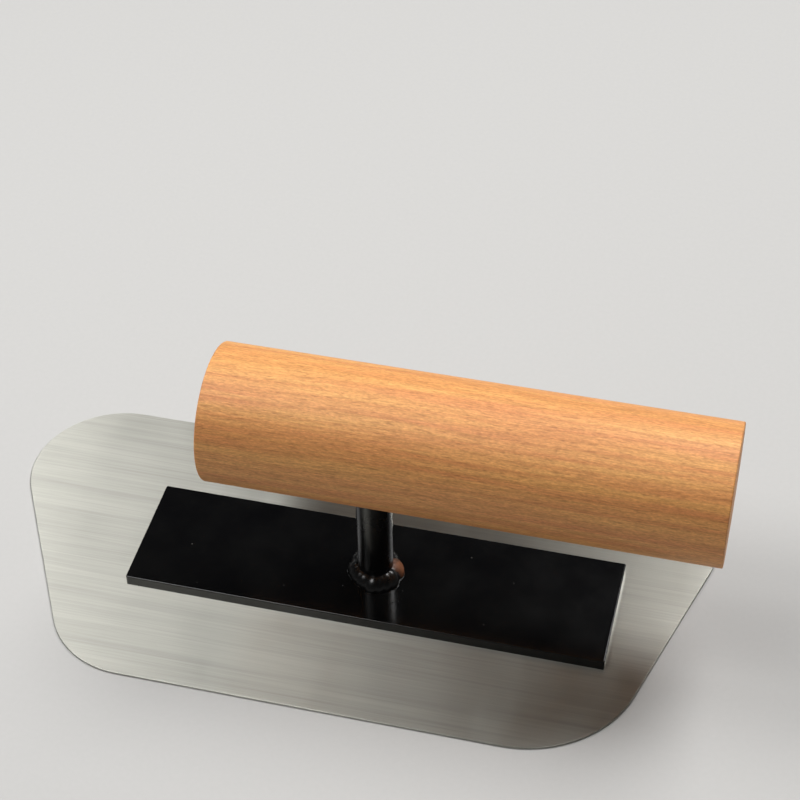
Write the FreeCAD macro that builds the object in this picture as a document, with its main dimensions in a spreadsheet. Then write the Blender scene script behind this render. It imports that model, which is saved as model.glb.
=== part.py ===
"""Steel finishing trowel: a thin stainless blade with rounded corners, a black steel
mounting plate spot-welded on it, and a round post that carries a turned beech handle.

Row frame, in millimetres. The origin is on the working face of the blade, under the axis
of the post. +X runs along the handle towards its long end (the heel), -X towards the toe.
-Y is the side of the shorter long edge of the blade, +Z points up to the handle.
"""

import FreeCAD, Part
import os
import Sketcher
from FreeCAD import Placement, Rotation, Vector

# Driving dimensions, in millimetres unless the name says otherwise.
SIZES = {
    # blade: a four-sided sheet. Reaches are measured from the axis of the post.
    "blade_thickness": 0.7,
    "blade_reach_far": 48.6,
    "blade_reach_near": 49.3,
    "blade_toe_far": 128.7,
    "blade_toe_near": 76.3,
    "blade_heel_far": 99.0,
    "blade_heel_near": 70.6,
    "corner_toe_far": 25.6,
    "corner_toe_near": 26.0,
    "corner_heel_near": 33.0,
    "corner_heel_far": 20.0,
    "blade_edge_round": 0.2,
    # mounting plate: flat bar
    "plate_length": 136.4,
    "plate_width": 36.6,
    "plate_thickness": 3.2,
    "plate_corner_round": 0.5,
    "plate_edge_round": 0.3,
    # post: round bar, plain below, ring-barbed where it is glued into the handle
    "post_diameter": 10.0,
    "post_plain_entry": 6.0,
    "barb_count": 5,
    "barb_pitch": 3.6,
    "barb_slope_length": 2.9,
    "barb_root_diameter": 8.2,
    "barb_crest_diameter": 9.6,
    "post_tip_chamfer": 1.0,
    # fillet weld round the foot of the post
    "weld_leg": 3.6,
    "weld_face_radius": 4.4,
    # handle: turned cylinder with a blind bore in its underside
    "handle_diameter": 38.0,
    "handle_axis_height": 56.7,
    "handle_toe_end": 43.0,
    "handle_heel_end": 95.6,
    "handle_edge_round": 0.4,
    "bore_diameter": 10.2,
    "bore_depth": 26.0,
    "glue_mouth_gap": 1.5,
    # resistance spot welds between plate and blade
    "nugget_diameter": 5.0,
    "nugget_in_blade": 0.35,
    "nugget_in_plate": 1.2,
    "nugget_column_inner": 24.0,
    "nugget_column_outer": 56.0,
    "nugget_row": 10.5,
}
SHEET = "Sizes"
NUGGET_COLUMNS = ("nugget_column_inner", "nugget_column_outer")
ORIGIN = (-1, 1)  # a sketch's own origin point
HORIZONTAL_AXIS, VERTICAL_AXIS = -1, -2  # a sketch's own axes
TOUCHING = 1e-6  # two lengths this close are the same, in mm
NEAR = 0.1  # two points this close are the same corner, in mm
CUT_STANDOFF = 1.0  # how far a cutting sketch stands off the face that it cuts, in mm


def cell(name):
    """The expression that reads one driving dimension."""
    return f"{SHEET}.{name}"


def make_sheet(doc):
    """Writes the driving dimensions into the document's spreadsheet."""
    sheet = doc.addObject("Spreadsheet::Sheet", SHEET)
    for row, (name, value) in enumerate(SIZES.items(), start=1):
        sheet.set(f"A{row}", name)
        sheet.set(f"B{row}", str(value))
        sheet.setAlias(f"B{row}", name)
    doc.recompute()
    return sheet


def make_body(doc, label):
    """A PartDesign body whose label names its sub-part."""
    body = doc.addObject("PartDesign::Body", label)
    body.Label = label
    return body


def make_sketch(body, name, role, height=None):
    """A sketch on one of the body's own origin planes, raised along its normal if asked."""
    sketch = body.newObject("Sketcher::SketchObject", name)
    plane = next(f for f in body.Origin.OriginFeatures if f.Role == role)
    sketch.AttachmentSupport = [(plane, "")]
    sketch.MapMode = "FlatFace"
    if height:
        sketch.setExpression(".AttachmentOffset.Base.z", height)
    return sketch


def bind(sketch, constraint, expression):
    """Adds a constraint and ties its value to an expression of the driving dimensions."""
    index = sketch.addConstraint(constraint)
    sketch.renameConstraint(index, f"size_{index}")
    sketch.setExpression(f"Constraints.size_{index}", expression)


def place_point(sketch, geometry, point, x_expression, y_expression, guess):
    """Ties one sketch point to its distances from the origin, on the side where guess
    puts it. A distance of None keeps the point on the sketch's own axis."""
    for kind, expression, value, axis in (
        ("DistanceX", x_expression, guess[0], VERTICAL_AXIS),
        ("DistanceY", y_expression, guess[1], HORIZONTAL_AXIS),
    ):
        if expression is None:
            sketch.addConstraint(Sketcher.Constraint("PointOnObject", geometry, point, axis))
        elif value < 0:
            ends = (geometry, point, *ORIGIN)
            bind(sketch, Sketcher.Constraint(kind, *ends, -value), expression)
        else:
            ends = (*ORIGIN, geometry, point)
            bind(sketch, Sketcher.Constraint(kind, *ends, value), expression)


def add_loop(sketch, points):
    """A closed polygon through points, its ends joined; returns the first line's index."""
    first = sketch.GeometryCount
    corners = [Vector(x, y, 0) for x, y in points]
    count = len(corners)
    for i in range(count):
        line = Part.LineSegment(corners[i], corners[(i + 1) % count])
        sketch.addGeometry(line, False)
    for i in range(count):
        following = first + (i + 1) % count
        joint = Sketcher.Constraint("Coincident", first + i, 2, following, 1)
        sketch.addConstraint(joint)
    return first


def add_circle(sketch, diameter, x_expression=None, y_expression=None, centre=(0, 0)):
    """A circle of a driving diameter, with its centre at the origin or at a bound point."""
    radius = SIZES[diameter] / 2
    circle = Part.Circle(Vector(*centre, 0), Vector(0, 0, 1), radius)
    index = sketch.addGeometry(circle, False)
    size = Sketcher.Constraint("Diameter", index, 2 * radius)
    bind(sketch, size, cell(diameter))
    place_point(sketch, index, 3, x_expression, y_expression, centre)


def pad(body, sketch, name, length):
    """A pad along the sketch normal."""
    feature = body.newObject("PartDesign::Pad", name)
    feature.Profile = sketch
    feature.setExpression("Length", length)
    body.Document.recompute()
    return feature


def pocket(body, sketch, name, length, upwards):
    """A blind pocket; upwards says whether it cuts along the sketch normal."""
    before = body.Shape.Volume
    feature = body.newObject("PartDesign::Pocket", name)
    feature.Profile = sketch
    feature.Reversed = upwards
    feature.setExpression("Length", length)
    body.Document.recompute()
    if body.Shape.Volume > before - TOUCHING:
        raise RuntimeError(f"{body.Label}: {name} cuts nothing")
    return feature


def revolve(body, sketch, name):
    """A full turn of a profile about the vertical axis of its sketch."""
    feature = body.newObject("PartDesign::Revolution", name)
    feature.Profile = sketch
    feature.ReferenceAxis = (sketch, ["V_Axis"])
    feature.Angle = 360.0
    body.Document.recompute()
    return feature


def fillet(body, name, radius, wanted):
    """Rounds the edges of the body's tip that wanted(edge) picks."""
    tip = body.Tip
    edges = [f"Edge{i}" for i, e in enumerate(tip.Shape.Edges, start=1) if wanted(e)]
    if not edges:
        raise RuntimeError(f"{body.Label}: {name} found no edge")
    feature = body.newObject("PartDesign::Fillet", name)
    feature.Base = (tip, edges)
    feature.setExpression("Radius", radius)
    body.Document.recompute()
    return feature


def is_upright(edge):
    """True for a straight edge that runs along Z."""
    if not isinstance(edge.Curve, Part.Line):
        return False
    ends = [v.Point for v in edge.Vertexes]
    return abs(ends[0].x - ends[1].x) < TOUCHING and abs(ends[0].y - ends[1].y) < TOUCHING


def is_round(edge):
    """True for a circular edge."""
    return isinstance(edge.Curve, Part.Circle)


def upright_at(x, y):
    """A test for the upright edge that stands at one corner."""

    def stands_there(edge):
        middle = edge.CenterOfMass
        return is_upright(edge) and (middle - Vector(x, y, middle.z)).Length < NEAR

    return stands_there


def lies_flat_at(z):
    """A test for edges that lie wholly in one horizontal plane."""
    return lambda edge: all(abs(v.Point.z - z) < TOUCHING for v in edge.Vertexes)


def add_nugget_circles(sketch):
    """One circle per spot weld: two columns each side of the post, in two rows."""
    row = SIZES["nugget_row"]
    for column in NUGGET_COLUMNS:
        for x_sign in (-1, 1):
            for y_sign in (-1, 1):
                centre = (x_sign * SIZES[column], y_sign * row)
                add_circle(sketch, "nugget_diameter", cell(column), cell("nugget_row"), centre)


def make_blade(doc):
    """The stainless sheet: a four-sided outline, rounded corners and slightly eased edges."""
    body = make_body(doc, "blade")
    outline = make_sketch(body, "blade_outline", "XY_Plane")
    corners = (
        ("blade_toe_near", "blade_reach_near", -1, -1, "corner_toe_near"),
        ("blade_heel_near", "blade_reach_near", 1, -1, "corner_heel_near"),
        ("blade_heel_far", "blade_reach_far", 1, 1, "corner_heel_far"),
        ("blade_toe_far", "blade_reach_far", -1, 1, "corner_toe_far"),
    )
    points = [(sx * SIZES[x], sy * SIZES[y]) for x, y, sx, sy, _ in corners]
    first = add_loop(outline, points)
    for i, (x, y, _, _, _) in enumerate(corners):
        place_point(outline, first + i, 1, cell(x), cell(y), points[i])
    pad(body, outline, "blade_sheet", cell("blade_thickness"))
    for (_, _, _, _, radius), point in zip(corners, points):
        fillet(body, f"{radius}_round", cell(radius), upright_at(*point))
    thickness = SIZES["blade_thickness"]
    fillet(body, "upper_edge_round", cell("blade_edge_round"), lies_flat_at(thickness))
    fillet(body, "lower_edge_round", cell("blade_edge_round"), lies_flat_at(0.0))
    nuggets = make_sketch(body, "nugget_seats", "XY_Plane", cell("blade_thickness"))
    add_nugget_circles(nuggets)
    pocket(body, nuggets, "nugget_pockets", cell("nugget_in_blade"), upwards=False)
    return body


def make_mounting_plate(doc):
    """The black flat bar that stiffens the blade and carries the post."""
    body = make_body(doc, "mounting_plate")
    outline = make_sketch(body, "plate_outline", "XY_Plane")
    half_x, half_y = SIZES["plate_length"] / 2, SIZES["plate_width"] / 2
    signs = ((-1, -1), (1, -1), (1, 1), (-1, 1))
    points = [(sx * half_x, sy * half_y) for sx, sy in signs]
    first = add_loop(outline, points)
    for i, point in enumerate(points):
        halves = (cell("plate_length") + " / 2", cell("plate_width") + " / 2")
        place_point(outline, first + i, 1, *halves, point)
    pad(body, outline, "plate_bar", cell("plate_thickness"))
    fillet(body, "plate_corners", cell("plate_corner_round"), is_upright)
    top = SIZES["plate_thickness"]
    fillet(body, "plate_upper_edge", cell("plate_edge_round"), lies_flat_at(top))
    nuggets = make_sketch(body, "nugget_seats", "XY_Plane")
    add_nugget_circles(nuggets)
    pocket(body, nuggets, "nugget_pockets", cell("nugget_in_plate"), upwards=True)
    body.setExpression(".Placement.Base.z", cell("blade_thickness"))
    return body


def post_profile():
    """Half section of the post as (radius, height) expressions, from the foot to the tip."""
    plate_top = f"({cell('blade_thickness')} + {cell('plate_thickness')})"
    mouth = f"({cell('handle_axis_height')} - {cell('handle_diameter')} / 2)"
    start = f"({mouth} + {cell('post_plain_entry')})"
    shank, root = cell("post_diameter") + " / 2", cell("barb_root_diameter") + " / 2"
    crest, pitch = cell("barb_crest_diameter") + " / 2", cell("barb_pitch")
    profile = [(None, plate_top), (shank, plate_top), (shank, start)]
    for i in range(int(SIZES["barb_count"])):
        low = f"({start} + {i} * {pitch})"
        profile.append((root, low))
        profile.append((crest, f"({low} + {cell('barb_slope_length')})"))
        profile.append((crest, f"({low} + {pitch})"))
    tip = f"({start} + {cell('barb_count')} * {pitch} + {cell('post_tip_chamfer')})"
    profile.append((root, tip))
    profile.append((None, tip))
    return profile


def evaluate(doc, expression):
    """The number that an expression of the driving dimensions has now."""
    return float(doc.getObject(SHEET).evalExpression(expression))


def make_post(doc):
    """The round bar: a plain shank with ring barbs on the stretch inside the handle."""
    body = make_body(doc, "post")
    sketch = make_sketch(body, "post_section", "XZ_Plane")
    profile = post_profile()
    numbers = [(evaluate(doc, x) if x else 0.0, evaluate(doc, z)) for x, z in profile]
    first = add_loop(sketch, numbers)
    for i, (x, z) in enumerate(profile):
        place_point(sketch, first + i, 1, x, z, numbers[i])
    revolve(body, sketch, "post_bar")
    return body


def make_weld_bead(doc):
    """The fillet weld round the foot of the post, with a bulged face."""
    body = make_body(doc, "post_weld_bead")
    sketch = make_sketch(body, "bead_section", "XZ_Plane")
    shank, leg = SIZES["post_diameter"] / 2, SIZES["weld_leg"]
    radius = SIZES["weld_face_radius"]
    heel, toe, top = Vector(shank, 0, 0), Vector(shank + leg, 0, 0), Vector(shank, leg, 0)
    chord = (top - toe).Length
    drop = (radius**2 - (chord / 2) ** 2) ** 0.5
    inward = Vector(-1, -1, 0).normalize()
    centre = (toe + top) * 0.5 + inward * drop
    crown = centre - inward * radius
    floor_line = sketch.addGeometry(Part.LineSegment(heel, toe), False)
    face = sketch.addGeometry(Part.Arc(toe, crown, top), False)
    wall_line = sketch.addGeometry(Part.LineSegment(top, heel), False)
    sketch.addConstraint(Sketcher.Constraint("Coincident", floor_line, 2, face, 1))
    sketch.addConstraint(Sketcher.Constraint("Coincident", face, 2, wall_line, 1))
    sketch.addConstraint(Sketcher.Constraint("Coincident", wall_line, 2, floor_line, 1))
    sketch.addConstraint(Sketcher.Constraint("Horizontal", floor_line))
    sketch.addConstraint(Sketcher.Constraint("Vertical", wall_line))
    half = cell("post_diameter") + " / 2"
    place_point(sketch, floor_line, 1, half, None, (shank, 0.0))
    bind(sketch, Sketcher.Constraint("Distance", floor_line, leg), cell("weld_leg"))
    bind(sketch, Sketcher.Constraint("Distance", wall_line, leg), cell("weld_leg"))
    bind(sketch, Sketcher.Constraint("Radius", face, radius), cell("weld_face_radius"))
    revolve(body, sketch, "bead_ring")
    height = f"{cell('blade_thickness')} + {cell('plate_thickness')}"
    body.setExpression(".Placement.Base.z", height)
    return body


def make_handle(doc):
    """The turned beech cylinder, with the blind bore for the post in its underside."""
    body = make_body(doc, "handle")
    section = make_sketch(body, "handle_section", "YZ_Plane", f"-{cell('handle_toe_end')}")
    add_circle(section, "handle_diameter")
    length = f"{cell('handle_toe_end')} + {cell('handle_heel_end')}"
    pad(body, section, "handle_blank", length)
    fillet(body, "end_rounds", cell("handle_edge_round"), is_round)
    start = f"-{cell('handle_diameter')} / 2 - {CUT_STANDOFF}"
    bore = make_sketch(body, "bore_section", "XY_Plane", start)
    add_circle(bore, "bore_diameter")
    pocket(body, bore, "blind_bore", f"{cell('bore_depth')} + {CUT_STANDOFF}", upwards=True)
    body.setExpression(".Placement.Base.z", cell("handle_axis_height"))
    return body


def make_glue(doc, post):
    """The epoxy that fills the bore round the barbs, short of the mouth."""
    fill = doc.addObject("Part::Cylinder", "glue_fill")
    fill.setExpression("Radius", cell("bore_diameter") + " / 2")
    fill.setExpression("Height", f"{cell('bore_depth')} - {cell('glue_mouth_gap')}")
    mouth = f"{cell('handle_axis_height')} - {cell('handle_diameter')} / 2"
    fill.setExpression(".Placement.Base.z", f"{mouth} + {cell('glue_mouth_gap')}")
    glue = doc.addObject("Part::Cut", "socket_epoxy")
    glue.Label = "socket_epoxy"
    glue.Base = fill
    glue.Tool = post
    doc.recompute()
    return glue


def make_spot_welds(doc):
    """The fused nuggets that join plate and blade, as one group of separate solids."""
    nuggets = []
    base = f"{cell('blade_thickness')} - {cell('nugget_in_blade')}"
    for column in NUGGET_COLUMNS:
        for x_sign in ("-", ""):
            for y_sign in ("-", ""):
                nugget = doc.addObject("Part::Cylinder", "nugget")
                nugget.setExpression("Radius", cell("nugget_diameter") + " / 2")
                height = f"{cell('nugget_in_blade')} + {cell('nugget_in_plate')}"
                nugget.setExpression("Height", height)
                nugget.setExpression(".Placement.Base.x", x_sign + cell(column))
                nugget.setExpression(".Placement.Base.y", y_sign + cell("nugget_row"))
                nugget.setExpression(".Placement.Base.z", base)
                nuggets.append(nugget)
    group = doc.addObject("Part::Compound", "spot_welds")
    group.Label = "spot_welds"
    group.Links = nuggets
    doc.recompute()
    return group


def check(doc, subparts):
    """Stops if any object of the document failed or a sub-part isn't sound."""
    for item in doc.Objects:
        if "Invalid" in item.State or "Error" in item.State:
            raise RuntimeError(f"{item.Label} failed: {item.State}")
    for item in subparts:
        shape = item.Shape
        if shape.isNull() or not shape.isValid() or not shape.Solids:
            raise RuntimeError(f"{item.Label} is not a sound solid")


def main():
    doc = FreeCAD.newDocument("FinishingTrowel")
    make_sheet(doc)
    post = make_post(doc)
    subparts = [
        make_blade(doc),
        make_mounting_plate(doc),
        make_spot_welds(doc),
        post,
        make_weld_bead(doc),
        make_handle(doc),
        make_glue(doc, post),
    ]
    doc.recompute()
    check(doc, subparts)
    os.makedirs("parts", exist_ok=True)
    for item in subparts:
        item.Shape.exportStep(f"parts/{item.Label}.step")
        box = item.Shape.BoundBox
        solids, volume = len(item.Shape.Solids), item.Shape.Volume
        print(f"{item.Label}: {solids} solid(s), {volume:.1f} mm3, {box}")


main()
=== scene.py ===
import math
import random

import bpy
from mathutils import Matrix, Vector


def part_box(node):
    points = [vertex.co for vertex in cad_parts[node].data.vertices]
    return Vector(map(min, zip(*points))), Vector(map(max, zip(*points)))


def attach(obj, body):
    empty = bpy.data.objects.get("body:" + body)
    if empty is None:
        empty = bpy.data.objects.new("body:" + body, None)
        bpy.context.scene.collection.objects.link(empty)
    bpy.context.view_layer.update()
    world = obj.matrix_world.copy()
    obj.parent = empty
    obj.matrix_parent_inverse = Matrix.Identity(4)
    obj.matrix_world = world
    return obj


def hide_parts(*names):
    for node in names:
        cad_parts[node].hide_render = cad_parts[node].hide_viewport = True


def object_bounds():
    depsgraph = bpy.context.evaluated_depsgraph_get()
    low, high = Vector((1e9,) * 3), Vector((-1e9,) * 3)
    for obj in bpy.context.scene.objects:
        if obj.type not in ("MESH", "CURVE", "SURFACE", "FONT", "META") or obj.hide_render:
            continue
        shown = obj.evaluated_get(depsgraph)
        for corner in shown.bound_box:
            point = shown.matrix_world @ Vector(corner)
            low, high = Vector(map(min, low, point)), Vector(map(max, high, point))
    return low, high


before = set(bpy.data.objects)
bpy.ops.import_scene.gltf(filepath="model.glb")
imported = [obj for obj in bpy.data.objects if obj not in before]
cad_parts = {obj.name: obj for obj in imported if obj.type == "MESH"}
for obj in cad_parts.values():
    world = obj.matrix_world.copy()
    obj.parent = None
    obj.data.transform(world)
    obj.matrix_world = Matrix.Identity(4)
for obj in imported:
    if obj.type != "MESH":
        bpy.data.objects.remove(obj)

bl_info = {
    "name": "Finishing Trowel",
    "version": (1, 0, 0),
    "blender": (4, 5, 0),
    "location": "View3D > Sidebar > Trowel",
    "description": "Finishes the packed trowel: blade, painted foot, weld and beech handle",
    "category": "Object",
}

MM = 0.001
CAD_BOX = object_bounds()
BODY = "root"
PANEL_PLACE = {"space": "VIEW_3D", "region": "UI", "tab": "Trowel"}
ALONG = Vector((1, 0, 0))
UP = Vector((0, 0, 1))

# How the grain lies in the handle: its turn from the trowel's axes, and how far from the
# handle's own axis the pith is, which puts it outside the wood.
GRAIN_TURN = (math.radians(62), 0, math.radians(0.5))
PITH_DISTANCE = 58 * MM

# The weld bead's slope from the post to the plate, the skew of its ripples, the size that
# the joined ripples are remeshed at, and how often they are smoothed.
WELD_SLOPE = math.radians(45)
RIPPLE_SKEW = math.radians(18)
WELD_VOXEL = 0.22 * MM
WELD_SMOOTHING = 13

# Spatter, in millimetres: how far past the bead it lies, and the droplets' radii.
SPATTER_REACH = (1.0, 5.0)
SPATTER_RADIUS = (0.25, 0.5)

# Each softbox: its name, its direction from the trowel, its width in metres and its share
# of the light.
SOFTBOXES = (
    ("softbox_left", (-0.76, 0.20, 1.0), 0.50, 0.28),
    ("softbox_front", (-0.40, -0.34, 1.0), 0.50, 0.24),
    ("softbox_right", (0.33, 0.52, 1.0), 0.60, 0.48),
)
FLOOR_SIZE = 40.0
SENSOR_WIDTH = 36.0  # in millimetres, as the camera takes it


def linear(hex_colour):
    """The linear red, green and blue of an sRGB colour such as C68E5A."""
    shares = [int(hex_colour[i : i + 2], 16) / 255 for i in (0, 2, 4)]
    return tuple(s / 12.92 if s <= 0.04045 else ((s + 0.055) / 1.055) ** 2.4 for s in shares)


def opaque(colour):
    """A colour with full alpha, as a node's colour socket takes it."""
    return (*colour[:3], 1.0)


# ---------------------------------------------------------------- settings


def colour_setting(name, description, hex_colour):
    """A colour that the panel shows as a swatch."""
    return bpy.props.FloatVectorProperty(
        name=name,
        description=description,
        subtype="COLOR",
        size=3,
        min=0.0,
        max=1.0,
        default=linear(hex_colour),
    )


class TrowelSteelSettings(bpy.types.PropertyGroup):
    colour: colour_setting("Steel", "Stainless steel in the light", "B1B0A8")
    streak: colour_setting("Streak", "The darker grinding streaks", "9F9E97")
    roughness: bpy.props.FloatProperty(
        name="Roughness",
        description="How blurred the blade's reflections are",
        default=0.45,
        min=0.05,
        max=1.0,
        subtype="FACTOR",
    )
    brushing: bpy.props.FloatProperty(
        name="Brushing",
        description="How much more the reflections spread across the grinding lines than along them",
        default=0.95,
        min=0.0,
        max=1.0,
        subtype="FACTOR",
    )


class TrowelPaintSettings(bpy.types.PropertyGroup):
    colour: colour_setting("Paint", "Black gloss enamel", "050506")
    thin: colour_setting("Thin paint", "Enamel where it runs thin", "0B0B0B")
    dust: colour_setting("Dust", "Specks caught in the enamel", "4A4946")
    # The burnt spot's colour is a painted reflection of the wooden handle, brown on the glossy weld.
    handle_reflection: colour_setting("Burnt spot", "Bare, browned metal on the weld", "7E4C2C")
    roughness: bpy.props.FloatProperty(
        name="Roughness on the plate",
        description="How blurred the reflections are where the enamel levelled out",
        default=0.13,
        min=0.04,
        max=1.0,
        subtype="FACTOR",
    )
    round_roughness: bpy.props.FloatProperty(
        name="Roughness on the post",
        description="How blurred the reflections are where the enamel ran thin on round steel",
        default=0.27,
        min=0.04,
        max=1.0,
        subtype="FACTOR",
    )


class TrowelBeechSettings(bpy.types.PropertyGroup):
    straw: colour_setting("Straw", "The yellower stretches of the wood", "D99D5B")
    pink: colour_setting("Pink", "The redder stretches of the wood", "CF8952")
    latewood: colour_setting("Latewood", "The dark line that ends each year's growth", "AC6C3A")
    fleck: colour_setting("Fleck", "The short dark rays of beech", "8A5228")
    ring_width: bpy.props.FloatProperty(
        name="Ring width",
        description="Mean width of a year's growth",
        default=2.6 * MM,
        min=0.5 * MM,
        max=20 * MM,
        subtype="DISTANCE",
        unit="LENGTH",
    )
    roughness: bpy.props.FloatProperty(
        name="Roughness",
        description="How blurred the sanded wood's sheen is",
        default=0.52,
        min=0.1,
        max=1.0,
        subtype="FACTOR",
    )


class TrowelWeldSettings(bpy.types.PropertyGroup):
    ripples: bpy.props.IntProperty(
        name="Ripples",
        description="Frozen ripples round the weld",
        default=21,
        min=6,
        max=60,
    )
    unevenness: bpy.props.FloatProperty(
        name="Unevenness",
        description="How much the ripples differ from each other",
        default=0.08,
        min=0.0,
        max=0.5,
        subtype="FACTOR",
    )
    spatter: bpy.props.IntProperty(
        name="Spatter",
        description="Droplets that froze on the plate near the weld",
        default=7,
        min=0,
        max=40,
    )
    seed: bpy.props.IntProperty(
        name="Seed",
        description="Another number gives another weld",
        default=4,
    )


class TrowelStageSettings(bpy.types.PropertyGroup):
    azimuth: bpy.props.FloatProperty(
        name="Azimuth",
        description="Turn of the view from the long edge of the blade",
        default=math.radians(14.55),
        subtype="ANGLE",
        unit="ROTATION",
    )
    elevation: bpy.props.FloatProperty(
        name="Elevation",
        description="Height of the view above the floor",
        default=math.radians(43.4),
        subtype="ANGLE",
        unit="ROTATION",
    )
    roll: bpy.props.FloatProperty(
        name="Roll",
        description="Tilt of the camera about its own line of sight",
        default=math.radians(-1.08),
        subtype="ANGLE",
        unit="ROTATION",
    )
    distance: bpy.props.FloatProperty(
        name="Distance",
        description="From the camera to the point that it looks at",
        default=622.3 * MM,
        subtype="DISTANCE",
        unit="LENGTH",
    )
    aim: bpy.props.FloatVectorProperty(
        name="Aim",
        description="The point on the blade's level that the camera looks at",
        default=(-10.9 * MM, 72.5 * MM, 0.7 * MM),
        subtype="TRANSLATION",
        unit="LENGTH",
    )
    lens: bpy.props.FloatProperty(
        name="Lens",
        description="Focal length, in millimetres on a sensor 36 mm wide",
        default=90.55,
    )
    floor: colour_setting("Floor", "Pale painted board", "B4B3B1")
    light_power: bpy.props.FloatProperty(
        name="Light",
        description="Power of the softboxes together",
        default=23.6,
        unit="POWER",
    )
    lamp_distance: bpy.props.FloatProperty(
        name="Lamp distance",
        description="From the trowel to each softbox",
        default=1.15,
        subtype="DISTANCE",
        unit="LENGTH",
    )


# ---------------------------------------------------------------- materials


def add_node(tree, kind, inputs=None, stops=None, **properties):
    """Adds a node, sets its properties and fills its inputs with values or other sockets.
    stops are a colour ramp's places and colours."""
    made = tree.nodes.new(kind)
    for name, value in properties.items():
        setattr(made, name, value)
    for key, value in (inputs or {}).items():
        if isinstance(value, bpy.types.NodeSocket):
            tree.links.new(value, made.inputs[key])
        else:
            made.inputs[key].default_value = value
    if stops:
        elements = made.color_ramp.elements
        while len(elements) < len(stops):
            elements.new(1.0)
        for element, (place, colour) in zip(elements, stops):
            element.position = place
            element.color = colour if len(colour) == 4 else opaque(colour)
    return made


def grey(value):
    """A grey for a colour ramp that carries a number."""
    return (value, value, value, 1.0)


def new_material(name):
    """A material with a Principled shader, and its tree and shader."""
    material = bpy.data.materials.new(name)
    material.use_nodes = True
    tree = material.node_tree
    return material, tree, tree.nodes["Principled BSDF"]


def per(*millimetres):
    """Mapping scales that make one pattern cell as many millimetres long on each axis."""
    return tuple(1 / (size * MM) for size in millimetres)


def finish_with(node_name, material):
    """Puts a material in every slot of a CAD node."""
    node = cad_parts[node_name]
    if not node.material_slots:
        node.data.materials.append(material)
    for slot in node.material_slots:
        slot.material = material


def brushed_stainless(settings):
    """Cold-rolled stainless sheet, ground on a belt along its length: a grey metal whose
    reflections run in a band across the fine lines, a little cloudy where the belt wandered."""
    material, tree, shader = new_material("stainless_sheet_belt_ground")
    place = add_node(tree, "ShaderNodeTexCoord").outputs["Object"]
    # The real lines are 0.02 to 0.1 mm apart; the finer pattern is 0.45 mm, so that it shows.
    fine_at = add_node(
        tree, "ShaderNodeMapping", {"Vector": place, "Scale": per(38, 0.45, 0.45)}
    )
    fine = add_node(
        tree,
        "ShaderNodeTexNoise",
        {"Vector": fine_at.outputs[0], "Scale": 1.0, "Detail": 3.0, "Roughness": 0.65},
    )
    broad_at = add_node(
        tree, "ShaderNodeMapping", {"Vector": place, "Scale": per(90, 3.2, 3.2)}
    )
    broad = add_node(
        tree,
        "ShaderNodeTexNoise",
        {"Vector": broad_at.outputs[0], "Scale": 1.0, "Detail": 2.0, "Roughness": 0.5},
    )
    cloud_at = add_node(
        tree, "ShaderNodeMapping", {"Vector": place, "Scale": per(16, 34, 34)}
    )
    cloud = add_node(
        tree,
        "ShaderNodeTexNoise",
        {"Vector": cloud_at.outputs[0], "Scale": 1.0, "Detail": 3.0, "Roughness": 0.55},
    )
    lines = add_node(
        tree,
        "ShaderNodeMath",
        {0: fine.outputs["Fac"], 1: 0.6, 2: 0.0},
        operation="MULTIPLY_ADD",
    )
    both = add_node(
        tree,
        "ShaderNodeMath",
        {0: broad.outputs["Fac"], 1: 0.4, 2: lines.outputs[0]},
        operation="MULTIPLY_ADD",
    )
    tone = add_node(
        tree,
        "ShaderNodeValToRGB",
        {"Fac": both.outputs[0]},
        stops=[(0.30, settings.streak), (0.62, settings.colour)],
    )
    blur = add_node(
        tree,
        "ShaderNodeMapRange",
        {
            "Value": cloud.outputs["Fac"],
            "From Min": 0.3,
            "From Max": 0.7,
            "To Min": settings.roughness - 0.05,
            "To Max": settings.roughness + 0.05,
        },
    )
    bump = add_node(
        tree,
        "ShaderNodeBump",
        {"Height": both.outputs[0], "Strength": 0.35, "Distance": 0.012 * MM},
    )
    # The tangents run round the length, across the grinding lines, and the shine spreads that way.
    across = add_node(tree, "ShaderNodeTangent", direction_type="RADIAL", axis="X")
    tree.links.new(tone.outputs["Color"], shader.inputs["Base Color"])
    tree.links.new(blur.outputs[0], shader.inputs["Roughness"])
    tree.links.new(bump.outputs[0], shader.inputs["Normal"])
    tree.links.new(across.outputs[0], shader.inputs["Tangent"])
    shader.inputs["Metallic"].default_value = 1.0
    shader.inputs["Anisotropic"].default_value = settings.brushing
    return material


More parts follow.
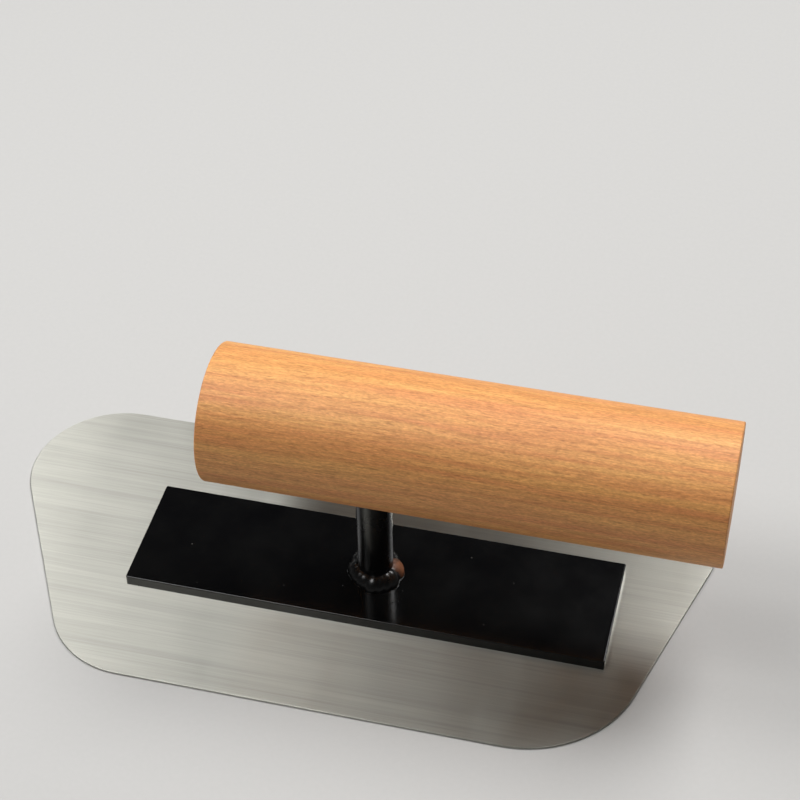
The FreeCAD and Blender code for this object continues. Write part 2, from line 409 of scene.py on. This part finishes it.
def black_enamel(settings, roughness, reflection_at=None):
    """Black gloss enamel, brushed or dipped on mill-rolled bar: a deep black with a wet
    shine, a faint orange peel, dust nibs, and, on the weld, a brown patch that is a painted
    reflection of the wooden handle."""
    material, tree, shader = new_material("black_enamel_painted_reflection" if reflection_at else "black_enamel")
    place = add_node(tree, "ShaderNodeTexCoord").outputs["Object"]
    peel_at = add_node(tree, "ShaderNodeMapping", {"Vector": place, "Scale": per(1.6, 1.6, 1.6)})
    peel = add_node(
        tree,
        "ShaderNodeTexNoise",
        {"Vector": peel_at.outputs[0], "Scale": 1.0, "Detail": 3.0, "Roughness": 0.6},
    )
    cloud_at = add_node(tree, "ShaderNodeMapping", {"Vector": place, "Scale": per(14, 14, 14)})
    cloud = add_node(
        tree,
        "ShaderNodeTexNoise",
        {"Vector": cloud_at.outputs[0], "Scale": 1.0, "Detail": 4.0, "Roughness": 0.6},
    )
    # One dust nib to about 6 mm square, 0.3 to 0.5 mm across.
    nib_at = add_node(tree, "ShaderNodeMapping", {"Vector": place, "Scale": per(6, 6, 6)})
    nib = add_node(
        tree, "ShaderNodeTexVoronoi", {"Vector": nib_at.outputs[0], "Scale": 1.0}
    )
    nibs = add_node(
        tree,
        "ShaderNodeValToRGB",
        {"Fac": nib.outputs["Distance"]},
        stops=[(0.025, grey(1.0)), (0.05, grey(0.0))],
    )
    tone = add_node(
        tree,
        "ShaderNodeValToRGB",
        {"Fac": cloud.outputs["Fac"]},
        stops=[(0.35, settings.colour), (0.75, settings.thin)],
    )
    specked = add_node(
        tree,
        "ShaderNodeMix",
        {0: nibs.outputs["Color"], 6: tone.outputs["Color"], 7: opaque(settings.dust)},
        data_type="RGBA",
    )
    blur = add_node(
        tree,
        "ShaderNodeMapRange",
        {
            "Value": cloud.outputs["Fac"],
            "From Min": 0.3,
            "From Max": 0.75,
            "To Min": roughness - 0.02,
            "To Max": roughness + 0.03,
        },
    )
    colour = specked.outputs[2]
    dullness = blur.outputs[0]
    # The patch is a painted reflection: the wooden handle's brown, painted on the bead's slope under
    # it.
    if reflection_at:
        offset = add_node(
            tree,
            "ShaderNodeVectorMath",
            {0: place, 1: reflection_at},
            operation="DISTANCE",
        )
        ragged = add_node(
            tree,
            "ShaderNodeMath",
            {0: peel.outputs["Fac"], 1: 2.6 * MM, 2: offset.outputs["Value"]},
            operation="MULTIPLY_ADD",
        )
        reflection_mask = add_node(
            tree,
            "ShaderNodeMapRange",
            {
                "Value": ragged.outputs[0],
                "From Min": 2.9 * MM,
                "From Max": 4.3 * MM,
                "To Min": 1.0,
                "To Max": 0.0,
            },
        )
        with_handle_reflection = add_node(
            tree,
            "ShaderNodeMix",
            {0: reflection_mask.outputs[0], 6: colour, 7: opaque(settings.handle_reflection)},
            data_type="RGBA",
        )
        dulled = add_node(
            tree,
            "ShaderNodeMapRange",
            {"Value": reflection_mask.outputs[0], "To Min": dullness, "To Max": 0.6},
        )
        colour = with_handle_reflection.outputs[2]
        dullness = dulled.outputs[0]
    height = add_node(
        tree,
        "ShaderNodeMath",
        {0: nibs.outputs["Color"], 1: 1.5, 2: peel.outputs["Fac"]},
        operation="MULTIPLY_ADD",
    )
    bump = add_node(
        tree,
        "ShaderNodeBump",
        {"Height": height.outputs[0], "Strength": 0.5, "Distance": 0.02 * MM},
    )
    tree.links.new(colour, shader.inputs["Base Color"])
    tree.links.new(dullness, shader.inputs["Roughness"])
    tree.links.new(bump.outputs[0], shader.inputs["Normal"])
    shader.inputs["IOR"].default_value = 1.5
    return material


def turned_beech(settings, centre):
    """Steamed beech, turned and sanded and left bare: straw and pink stretches along the
    grain, thin year lines, and the short dark rays that mark beech, with a dull sheen."""
    material, tree, shader = new_material("beech_turned_bare")
    place = add_node(tree, "ShaderNodeTexCoord").outputs["Object"]
    # From here on X runs with the grain, Y along the year rings and Z outwards from the pith.
    from_centre = add_node(
        tree, "ShaderNodeVectorMath", {0: place, 1: centre}, operation="SUBTRACT"
    )
    grain = add_node(
        tree,
        "ShaderNodeMapping",
        {"Vector": from_centre.outputs[0], "Rotation": GRAIN_TURN},
    ).outputs[0]
    wander_at = add_node(tree, "ShaderNodeMapping", {"Vector": grain, "Scale": per(95, 22, 22)})
    wander = add_node(
        tree,
        "ShaderNodeTexNoise",
        {"Vector": wander_at.outputs[0], "Scale": 1.0, "Detail": 2.0, "Roughness": 0.5},
    )
    pith = add_node(
        tree,
        "ShaderNodeMapping",
        {"Vector": grain, "Scale": (0.0, 1.0, 1.0), "Location": (0.0, 0.0, PITH_DISTANCE)},
    )
    radius = add_node(
        tree, "ShaderNodeVectorMath", {0: pith.outputs[0]}, operation="LENGTH"
    )
    bent = add_node(
        tree,
        "ShaderNodeMath",
        {0: wander.outputs["Fac"], 1: 9 * MM, 2: radius.outputs["Value"]},
        operation="MULTIPLY_ADD",
    )
    years = add_node(
        tree,
        "ShaderNodeMath",
        {0: bent.outputs[0], 1: settings.ring_width},
        operation="DIVIDE",
    )
    season = add_node(tree, "ShaderNodeMath", {0: years.outputs[0]}, operation="FRACT")
    line = add_node(
        tree,
        "ShaderNodeValToRGB",
        {"Fac": season.outputs[0]},
        stops=[
            (0.0, grey(0.1)),
            (0.15, grey(0.0)),
            (0.6, grey(0.04)),
            (0.95, grey(0.3)),
            (1.0, grey(0.1)),
        ],
    )
    stretch_at = add_node(tree, "ShaderNodeMapping", {"Vector": grain, "Scale": per(70, 2.6, 2.6)})
    stretch = add_node(
        tree,
        "ShaderNodeTexNoise",
        {"Vector": stretch_at.outputs[0], "Scale": 1.0, "Detail": 4.0, "Roughness": 0.6},
    )
    wood = add_node(
        tree,
        "ShaderNodeValToRGB",
        {"Fac": stretch.outputs["Fac"]},
        stops=[(0.34, settings.pink), (0.62, settings.straw)],
    )
    ringed = add_node(
        tree,
        "ShaderNodeMix",
        {0: line.outputs["Color"], 6: wood.outputs["Color"], 7: opaque(settings.latewood)},
        data_type="RGBA",
    )
    # Rays: 1 to 3 mm along the grain, thin along the rings and deep towards the pith. The
    # real ones are 0.1 to 0.2 mm thick, drawn as 0.32 mm so that they show.
    ray_at = add_node(tree, "ShaderNodeMapping", {"Vector": grain, "Scale": per(2.2, 0.32, 0.6)})
    ray = add_node(
        tree,
        "ShaderNodeTexNoise",
        {"Vector": ray_at.outputs[0], "Scale": 1.0, "Detail": 0.0},
    )
    rays = add_node(
        tree,
        "ShaderNodeValToRGB",
        {"Fac": ray.outputs["Fac"]},
        stops=[(0.60, grey(0.0)), (0.82, grey(0.34))],
    )
    rayed = add_node(
        tree,
        "ShaderNodeMix",
        {0: rays.outputs["Color"], 6: ringed.outputs[2], 7: opaque(settings.fleck)},
        data_type="RGBA",
    )
    pore_at = add_node(tree, "ShaderNodeMapping", {"Vector": grain, "Scale": per(5.0, 0.36, 0.36)})
    pore = add_node(
        tree,
        "ShaderNodeTexNoise",
        {"Vector": pore_at.outputs[0], "Scale": 1.0, "Detail": 3.0, "Roughness": 0.7},
    )
    pored = add_node(
        tree,
        "ShaderNodeMapRange",
        {
            "Value": pore.outputs["Fac"],
            "From Min": 0.3,
            "From Max": 0.7,
            "To Min": 0.77,
            "To Max": 1.15,
        },
    )
    # The sanded surface's short torn fibres.
    fibre_at = add_node(tree, "ShaderNodeMapping", {"Vector": grain, "Scale": per(1.1, 0.4, 0.4)})
    fibre = add_node(
        tree,
        "ShaderNodeTexNoise",
        {"Vector": fibre_at.outputs[0], "Scale": 1.0, "Detail": 1.0, "Roughness": 0.6},
    )
    torn = add_node(
        tree,
        "ShaderNodeMapRange",
        {
            "Value": fibre.outputs["Fac"],
            "From Min": 0.25,
            "From Max": 0.75,
            "To Min": 0.82,
            "To Max": 1.14,
        },
    )
    worn = add_node(
        tree, "ShaderNodeMath", {0: pored.outputs[0], 1: torn.outputs[0]}, operation="MULTIPLY"
    )
    shown = add_node(
        tree,
        "ShaderNodeMix",
        {0: 1.0, 6: rayed.outputs[2], 7: worn.outputs[0]},
        data_type="RGBA",
        blend_type="MULTIPLY",
    )
    blur = add_node(
        tree,
        "ShaderNodeMapRange",
        {
            "Value": pore.outputs["Fac"],
            "From Min": 0.3,
            "From Max": 0.7,
            "To Min": settings.roughness + 0.08,
            "To Max": settings.roughness - 0.06,
        },
    )
    height = add_node(
        tree,
        "ShaderNodeMath",
        {0: rays.outputs["Color"], 1: -0.8, 2: worn.outputs[0]},
        operation="MULTIPLY_ADD",
    )
    bump = add_node(
        tree,
        "ShaderNodeBump",
        {"Height": height.outputs[0], "Strength": 0.8, "Distance": 0.05 * MM},
    )
    tree.links.new(shown.outputs[2], shader.inputs["Base Color"])
    tree.links.new(blur.outputs[0], shader.inputs["Roughness"])
    tree.links.new(bump.outputs[0], shader.inputs["Normal"])
    shader.inputs["IOR"].default_value = 1.45
    return material


def fused_steel():
    """A resistance weld's nugget, steel that melted and froze: dull, blue-grey, mottled."""
    material, tree, shader = new_material("steel_fused")
    place = add_node(tree, "ShaderNodeTexCoord").outputs["Object"]
    at = add_node(tree, "ShaderNodeMapping", {"Vector": place, "Scale": per(1.2, 1.2, 1.2)})
    mottle = add_node(
        tree, "ShaderNodeTexNoise", {"Vector": at.outputs[0], "Scale": 1.0, "Detail": 4.0}
    )
    tone = add_node(
        tree,
        "ShaderNodeValToRGB",
        {"Fac": mottle.outputs["Fac"]},
        stops=[(0.3, linear("6E7178")), (0.7, linear("A5A39E"))],
    )
    tree.links.new(tone.outputs["Color"], shader.inputs["Base Color"])
    shader.inputs["Metallic"].default_value = 1.0
    shader.inputs["Roughness"].default_value = 0.55
    return material


def cured_epoxy():
    """Two-part epoxy, set in its bore: amber, glossy, with small bubbles."""
    material, tree, shader = new_material("epoxy_cured")
    place = add_node(tree, "ShaderNodeTexCoord").outputs["Object"]
    at = add_node(tree, "ShaderNodeMapping", {"Vector": place, "Scale": per(0.8, 0.8, 0.8)})
    bubble = add_node(tree, "ShaderNodeTexVoronoi", {"Vector": at.outputs[0], "Scale": 1.0})
    tone = add_node(
        tree,
        "ShaderNodeValToRGB",
        {"Fac": bubble.outputs["Distance"]},
        stops=[(0.15, linear("C9B27A")), (0.4, linear("A5884C"))],
    )
    tree.links.new(tone.outputs["Color"], shader.inputs["Base Color"])
    shader.inputs["Roughness"].default_value = 0.2
    shader.inputs["IOR"].default_value = 1.55
    return material


def painted_board(settings):
    """A board under matt emulsion: pale, almost without shine, with the roller's fine nap."""
    material, tree, shader = new_material("board_matt_emulsion")
    place = add_node(tree, "ShaderNodeTexCoord").outputs["Object"]
    at = add_node(tree, "ShaderNodeMapping", {"Vector": place, "Scale": per(1.5, 1.5, 1.5)})
    nap = add_node(
        tree, "ShaderNodeTexNoise", {"Vector": at.outputs[0], "Scale": 1.0, "Detail": 3.0}
    )
    tone = add_node(
        tree,
        "ShaderNodeValToRGB",
        {"Fac": nap.outputs["Fac"]},
        stops=[(0.2, [c * 0.97 for c in settings.floor]), (0.8, settings.floor)],
    )
    bump = add_node(
        tree,
        "ShaderNodeBump",
        {"Height": nap.outputs["Fac"], "Strength": 0.15, "Distance": 0.05 * MM},
    )
    tree.links.new(tone.outputs["Color"], shader.inputs["Base Color"])
    tree.links.new(bump.outputs[0], shader.inputs["Normal"])
    shader.inputs["Roughness"].default_value = 0.85
    return material


# ---------------------------------------------------------------- modelling helpers


def deselect_all():
    """Clears the selection, so that the next operator acts on nothing else."""
    bpy.ops.object.select_all(action="DESELECT")


def only(piece):
    """Selects one piece and makes it active."""
    deselect_all()
    piece.select_set(True)
    bpy.context.view_layer.objects.active = piece


def apply_modifier(piece, kind, **properties):
    """Adds a modifier, sets it and applies it at once."""
    only(piece)
    modifier = piece.modifiers.new(kind.title(), kind)
    for name, value in properties.items():
        setattr(modifier, name, value)
    bpy.ops.object.modifier_apply(modifier=modifier.name)


def copy_with(original, name, matrix):
    """A copy of a piece with a mesh of its own, which the matrix puts in place."""
    made = original.copy()
    made.data = original.data.copy()
    made.name = name
    made.data.transform(matrix)
    bpy.context.collection.objects.link(made)
    return made


# ---------------------------------------------------------------- operators


class TROWEL_OT_finish_blade(bpy.types.Operator):
    """Give the blade its belt-ground stainless steel"""

    bl_idname = "trowel.finish_blade"
    bl_label = "Finish Blade"

    def execute(self, context):
        finish_with("blade", brushed_stainless(context.scene.trowel_steel))
        return {"FINISHED"}


class TROWEL_OT_finish_foot(bpy.types.Operator):
    """Paint the mounting plate and the post with black enamel"""

    bl_idname = "trowel.finish_foot"
    bl_label = "Finish Plate and Post"

    def execute(self, context):
        settings = context.scene.trowel_paint
        finish_with("mounting_plate", black_enamel(settings, settings.roughness))
        finish_with("post", black_enamel(settings, settings.round_roughness))
        return {"FINISHED"}


class TROWEL_OT_lay_weld(bpy.types.Operator):
    """Lay a rippled weld bead round the foot of the post, with a little spatter"""

    bl_idname = "trowel.lay_weld"
    bl_label = "Lay Weld Bead"

    def execute(self, context):
        settings = context.scene.trowel_weld
        chance = random.Random(settings.seed)
        low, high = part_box("post_weld_bead")
        leg = high.z - low.z
        outer = (high.x - low.x) / 2
        foot = Vector(((low.x + high.x) / 2, (low.y + high.y) / 2, low.z))
        drops = [self.ripple(foot, outer, leg, settings.ripples)]
        for i in range(1, settings.ripples):
            turn = Matrix.Rotation(math.tau * i / settings.ripples, 4, "Z")
            wobble = 1 + settings.unevenness * chance.uniform(-1, 1)
            drops.append(
                copy_with(drops[0], f"ripple_{i}", self.about(foot, turn @ Matrix.Scale(wobble, 4)))
            )
        for i in range(settings.spatter):
            reach = outer + chance.uniform(*SPATTER_REACH) * MM
            around = chance.uniform(0, math.tau)
            away = Vector((math.cos(around), math.sin(around), 0)) * reach
            bpy.ops.mesh.primitive_uv_sphere_add(
                segments=12,
                ring_count=8,
                radius=chance.uniform(*SPATTER_RADIUS) * MM,
                location=foot + away,
            )
            bpy.ops.object.transform_apply(location=True, rotation=True, scale=True)
            drops.append(context.object)
        deselect_all()
        for drop in drops:
            drop.select_set(True)
        context.view_layer.objects.active = drops[0]
        bpy.ops.object.join()
        bead = context.object
        bead.name = "weld_bead"
        bead.data.name = "weld_bead"
        apply_modifier(bead, "REMESH", mode="VOXEL", voxel_size=WELD_VOXEL)
        apply_modifier(bead, "SMOOTH", factor=0.6, iterations=WELD_SMOOTHING)
        only(bead)
        bpy.ops.object.shade_smooth()
        # A painted reflection of the wooden handle: a brown patch on the bead's slope, towards the
        # handle's long end.
        reflection_place = foot + Vector((outer * 0.74, outer * 0.14, leg * 0.45))
        bead.data.materials.clear()
        paint = context.scene.trowel_paint
        bead.data.materials.append(black_enamel(paint, paint.round_roughness, reflection_place))
        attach(bead, BODY)
        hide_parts("post_weld_bead")
        return {"FINISHED"}

    def about(self, centre, matrix):
        """The matrix that does the same about another centre."""
        return Matrix.Translation(centre) @ matrix @ Matrix.Translation(-centre)

    def ripple(self, foot, outer, leg, count):
        """One frozen ripple: a flat drop that leans against the post and overlaps the next."""
        middle = outer - leg * 0.71
        pitch = math.tau * middle / count
        thick = leg * 0.42
        wide = pitch * 1.25
        long = leg * 0.80
        centre = foot + ALONG * middle + UP * leg * 0.29
        deselect_all()
        bpy.ops.mesh.primitive_uv_sphere_add(
            segments=24,
            ring_count=16,
            radius=1.0,
            scale=(thick, wide, long),
            rotation=(0, -WELD_SLOPE, 0),
            location=centre,
        )
        made = bpy.context.object
        made.name = "ripple_0"
        bpy.ops.object.transform_apply(location=True, rotation=True, scale=True)
        bpy.ops.object.mode_set(mode="EDIT")
        bpy.ops.mesh.select_all(action="SELECT")
        bpy.ops.transform.rotate(value=RIPPLE_SKEW, orient_axis="Z", center_override=centre)
        bpy.ops.object.mode_set(mode="OBJECT")
        return made


class TROWEL_OT_finish_handle(bpy.types.Operator):
    """Give the handle its turned beech"""

    bl_idname = "trowel.finish_handle"
    bl_label = "Finish Handle"

    def execute(self, context):
        low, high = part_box("handle")
        finish_with("handle", turned_beech(context.scene.trowel_beech, (low + high) / 2))
        return {"FINISHED"}


class TROWEL_OT_finish_hidden(bpy.types.Operator):
    """Finish what the plate and the handle hide: the spot welds and the glue"""

    bl_idname = "trowel.finish_hidden"
    bl_label = "Finish Hidden Pieces"

    def execute(self, context):
        finish_with("spot_welds", fused_steel())
        finish_with("socket_epoxy", cured_epoxy())
        return {"FINISHED"}


class TROWEL_OT_set_stage(bpy.types.Operator):
    """Lay the pale floor, hang the lights and set the camera"""

    bl_idname = "trowel.set_stage"
    bl_label = "Set Stage"

    def execute(self, context):
        settings = context.scene.trowel_stage
        self.lay_floor(settings)
        self.hang_lights(context, settings)
        self.light_room(context)
        self.set_camera(context, settings)
        return {"FINISHED"}

    def lay_floor(self, settings):
        """A wide pale floor, level with the underside of the blade."""
        deselect_all()
        bpy.ops.mesh.primitive_plane_add(size=FLOOR_SIZE, location=(0, 0, CAD_BOX[0].z))
        floor = bpy.context.object
        floor.name = "floor"
        floor.data.materials.append(painted_board(settings))

    def hang_lights(self, context, settings):
        """Three softboxes over the trowel, each a share of the light, given by its direction."""
        for name, direction, size, share in SOFTBOXES:
            place = Vector(direction).normalized() * settings.lamp_distance
            light = bpy.data.lights.new(name, "AREA")
            light.shape = "DISK"
            light.size = size
            light.energy = settings.light_power * share
            lamp = bpy.data.objects.new(name, light)
            lamp.location = place
            lamp.rotation_mode = "QUATERNION"
            lamp.rotation_quaternion = place.to_track_quat("Z", "Y")
            context.collection.objects.link(lamp)

    def light_room(self, context):
        """A dim room, paler at its walls than overhead."""
        world = bpy.data.worlds.new("room")
        context.scene.world = world
        world.use_nodes = True
        tree = world.node_tree
        place = add_node(tree, "ShaderNodeTexCoord").outputs["Generated"]
        height = add_node(tree, "ShaderNodeSeparateXYZ", {0: place})
        walls = add_node(
            tree,
            "ShaderNodeValToRGB",
            {"Fac": height.outputs["Z"]},
            stops=[(0.0, grey(0.15)), (0.2, grey(0.13)), (0.5, grey(0.03)), (1.0, grey(0.015))],
        )
        background = tree.nodes["Background"]
        tree.links.new(walls.outputs["Color"], background.inputs["Color"])
        background.inputs["Strength"].default_value = 1.0

    def set_camera(self, context, settings):
        """The camera, placed by its azimuth, elevation, roll and distance."""
        azimuth, elevation = settings.azimuth, settings.elevation
        back = Vector(
            (
                math.sin(azimuth) * math.cos(elevation),
                -math.cos(azimuth) * math.cos(elevation),
                math.sin(elevation),
            )
        )
        data = bpy.data.cameras.new("camera")
        data.sensor_width = SENSOR_WIDTH
        data.lens = settings.lens
        data.clip_start = 0.01
        data.clip_end = 100.0
        camera = bpy.data.objects.new("camera", data)
        camera.rotation_mode = "QUATERNION"
        level = (-back).to_track_quat("-Z", "Y").to_matrix()
        camera.rotation_quaternion = (level @ Matrix.Rotation(settings.roll, 3, "Z")).to_quaternion()
        camera.location = Vector(settings.aim) + back * settings.distance
        context.collection.objects.link(camera)
        context.scene.camera = camera
        context.scene.view_settings.view_transform = "Standard"


# ---------------------------------------------------------------- panel and registration


class TROWEL_PT_pieces(bpy.types.Panel):
    """One box for each step, with its settings"""

    bl_idname = "TROWEL_PT_pieces"
    bl_label = "Finishing Trowel"
    bl_space_type = PANEL_PLACE["space"]
    bl_region_type = PANEL_PLACE["region"]
    bl_category = PANEL_PLACE["tab"]

    def draw(self, context):
        for operator, settings in STEPS:
            box = self.layout.box()
            box.operator(operator.bl_idname)
            group = getattr(context.scene, settings) if settings else None
            for name in group.__annotations__ if group else ():
                box.prop(group, name)


SETTINGS = {
    "trowel_steel": TrowelSteelSettings,
    "trowel_paint": TrowelPaintSettings,
    "trowel_beech": TrowelBeechSettings,
    "trowel_weld": TrowelWeldSettings,
    "trowel_stage": TrowelStageSettings,
}
STEPS = (
    (TROWEL_OT_finish_blade, "trowel_steel"),
    (TROWEL_OT_finish_foot, "trowel_paint"),
    (TROWEL_OT_lay_weld, "trowel_weld"),
    (TROWEL_OT_finish_handle, "trowel_beech"),
    (TROWEL_OT_finish_hidden, None),
    (TROWEL_OT_set_stage, "trowel_stage"),
)


def register():
    for group in SETTINGS.values():
        bpy.utils.register_class(group)
    for operator, _ in STEPS:
        bpy.utils.register_class(operator)
    bpy.utils.register_class(TROWEL_PT_pieces)
    for name, group in SETTINGS.items():
        setattr(bpy.types.Scene, name, bpy.props.PointerProperty(type=group))


def unregister():
    for name in SETTINGS:
        delattr(bpy.types.Scene, name)
    bpy.utils.unregister_class(TROWEL_PT_pieces)
    for operator, _ in reversed(STEPS):
        bpy.utils.unregister_class(operator)
    for group in reversed(SETTINGS.values()):
        bpy.utils.unregister_class(group)


def write_sizes():
    """Brings the view layer up to date."""
    bpy.context.view_layer.update()


def main():
    register()
    bpy.ops.trowel.finish_blade()
    bpy.ops.trowel.finish_foot()
    bpy.ops.trowel.lay_weld()
    bpy.ops.trowel.finish_handle()
    bpy.ops.trowel.finish_hidden()
    bpy.ops.trowel.set_stage()
    write_sizes()


if __name__ == "__main__":
    main()
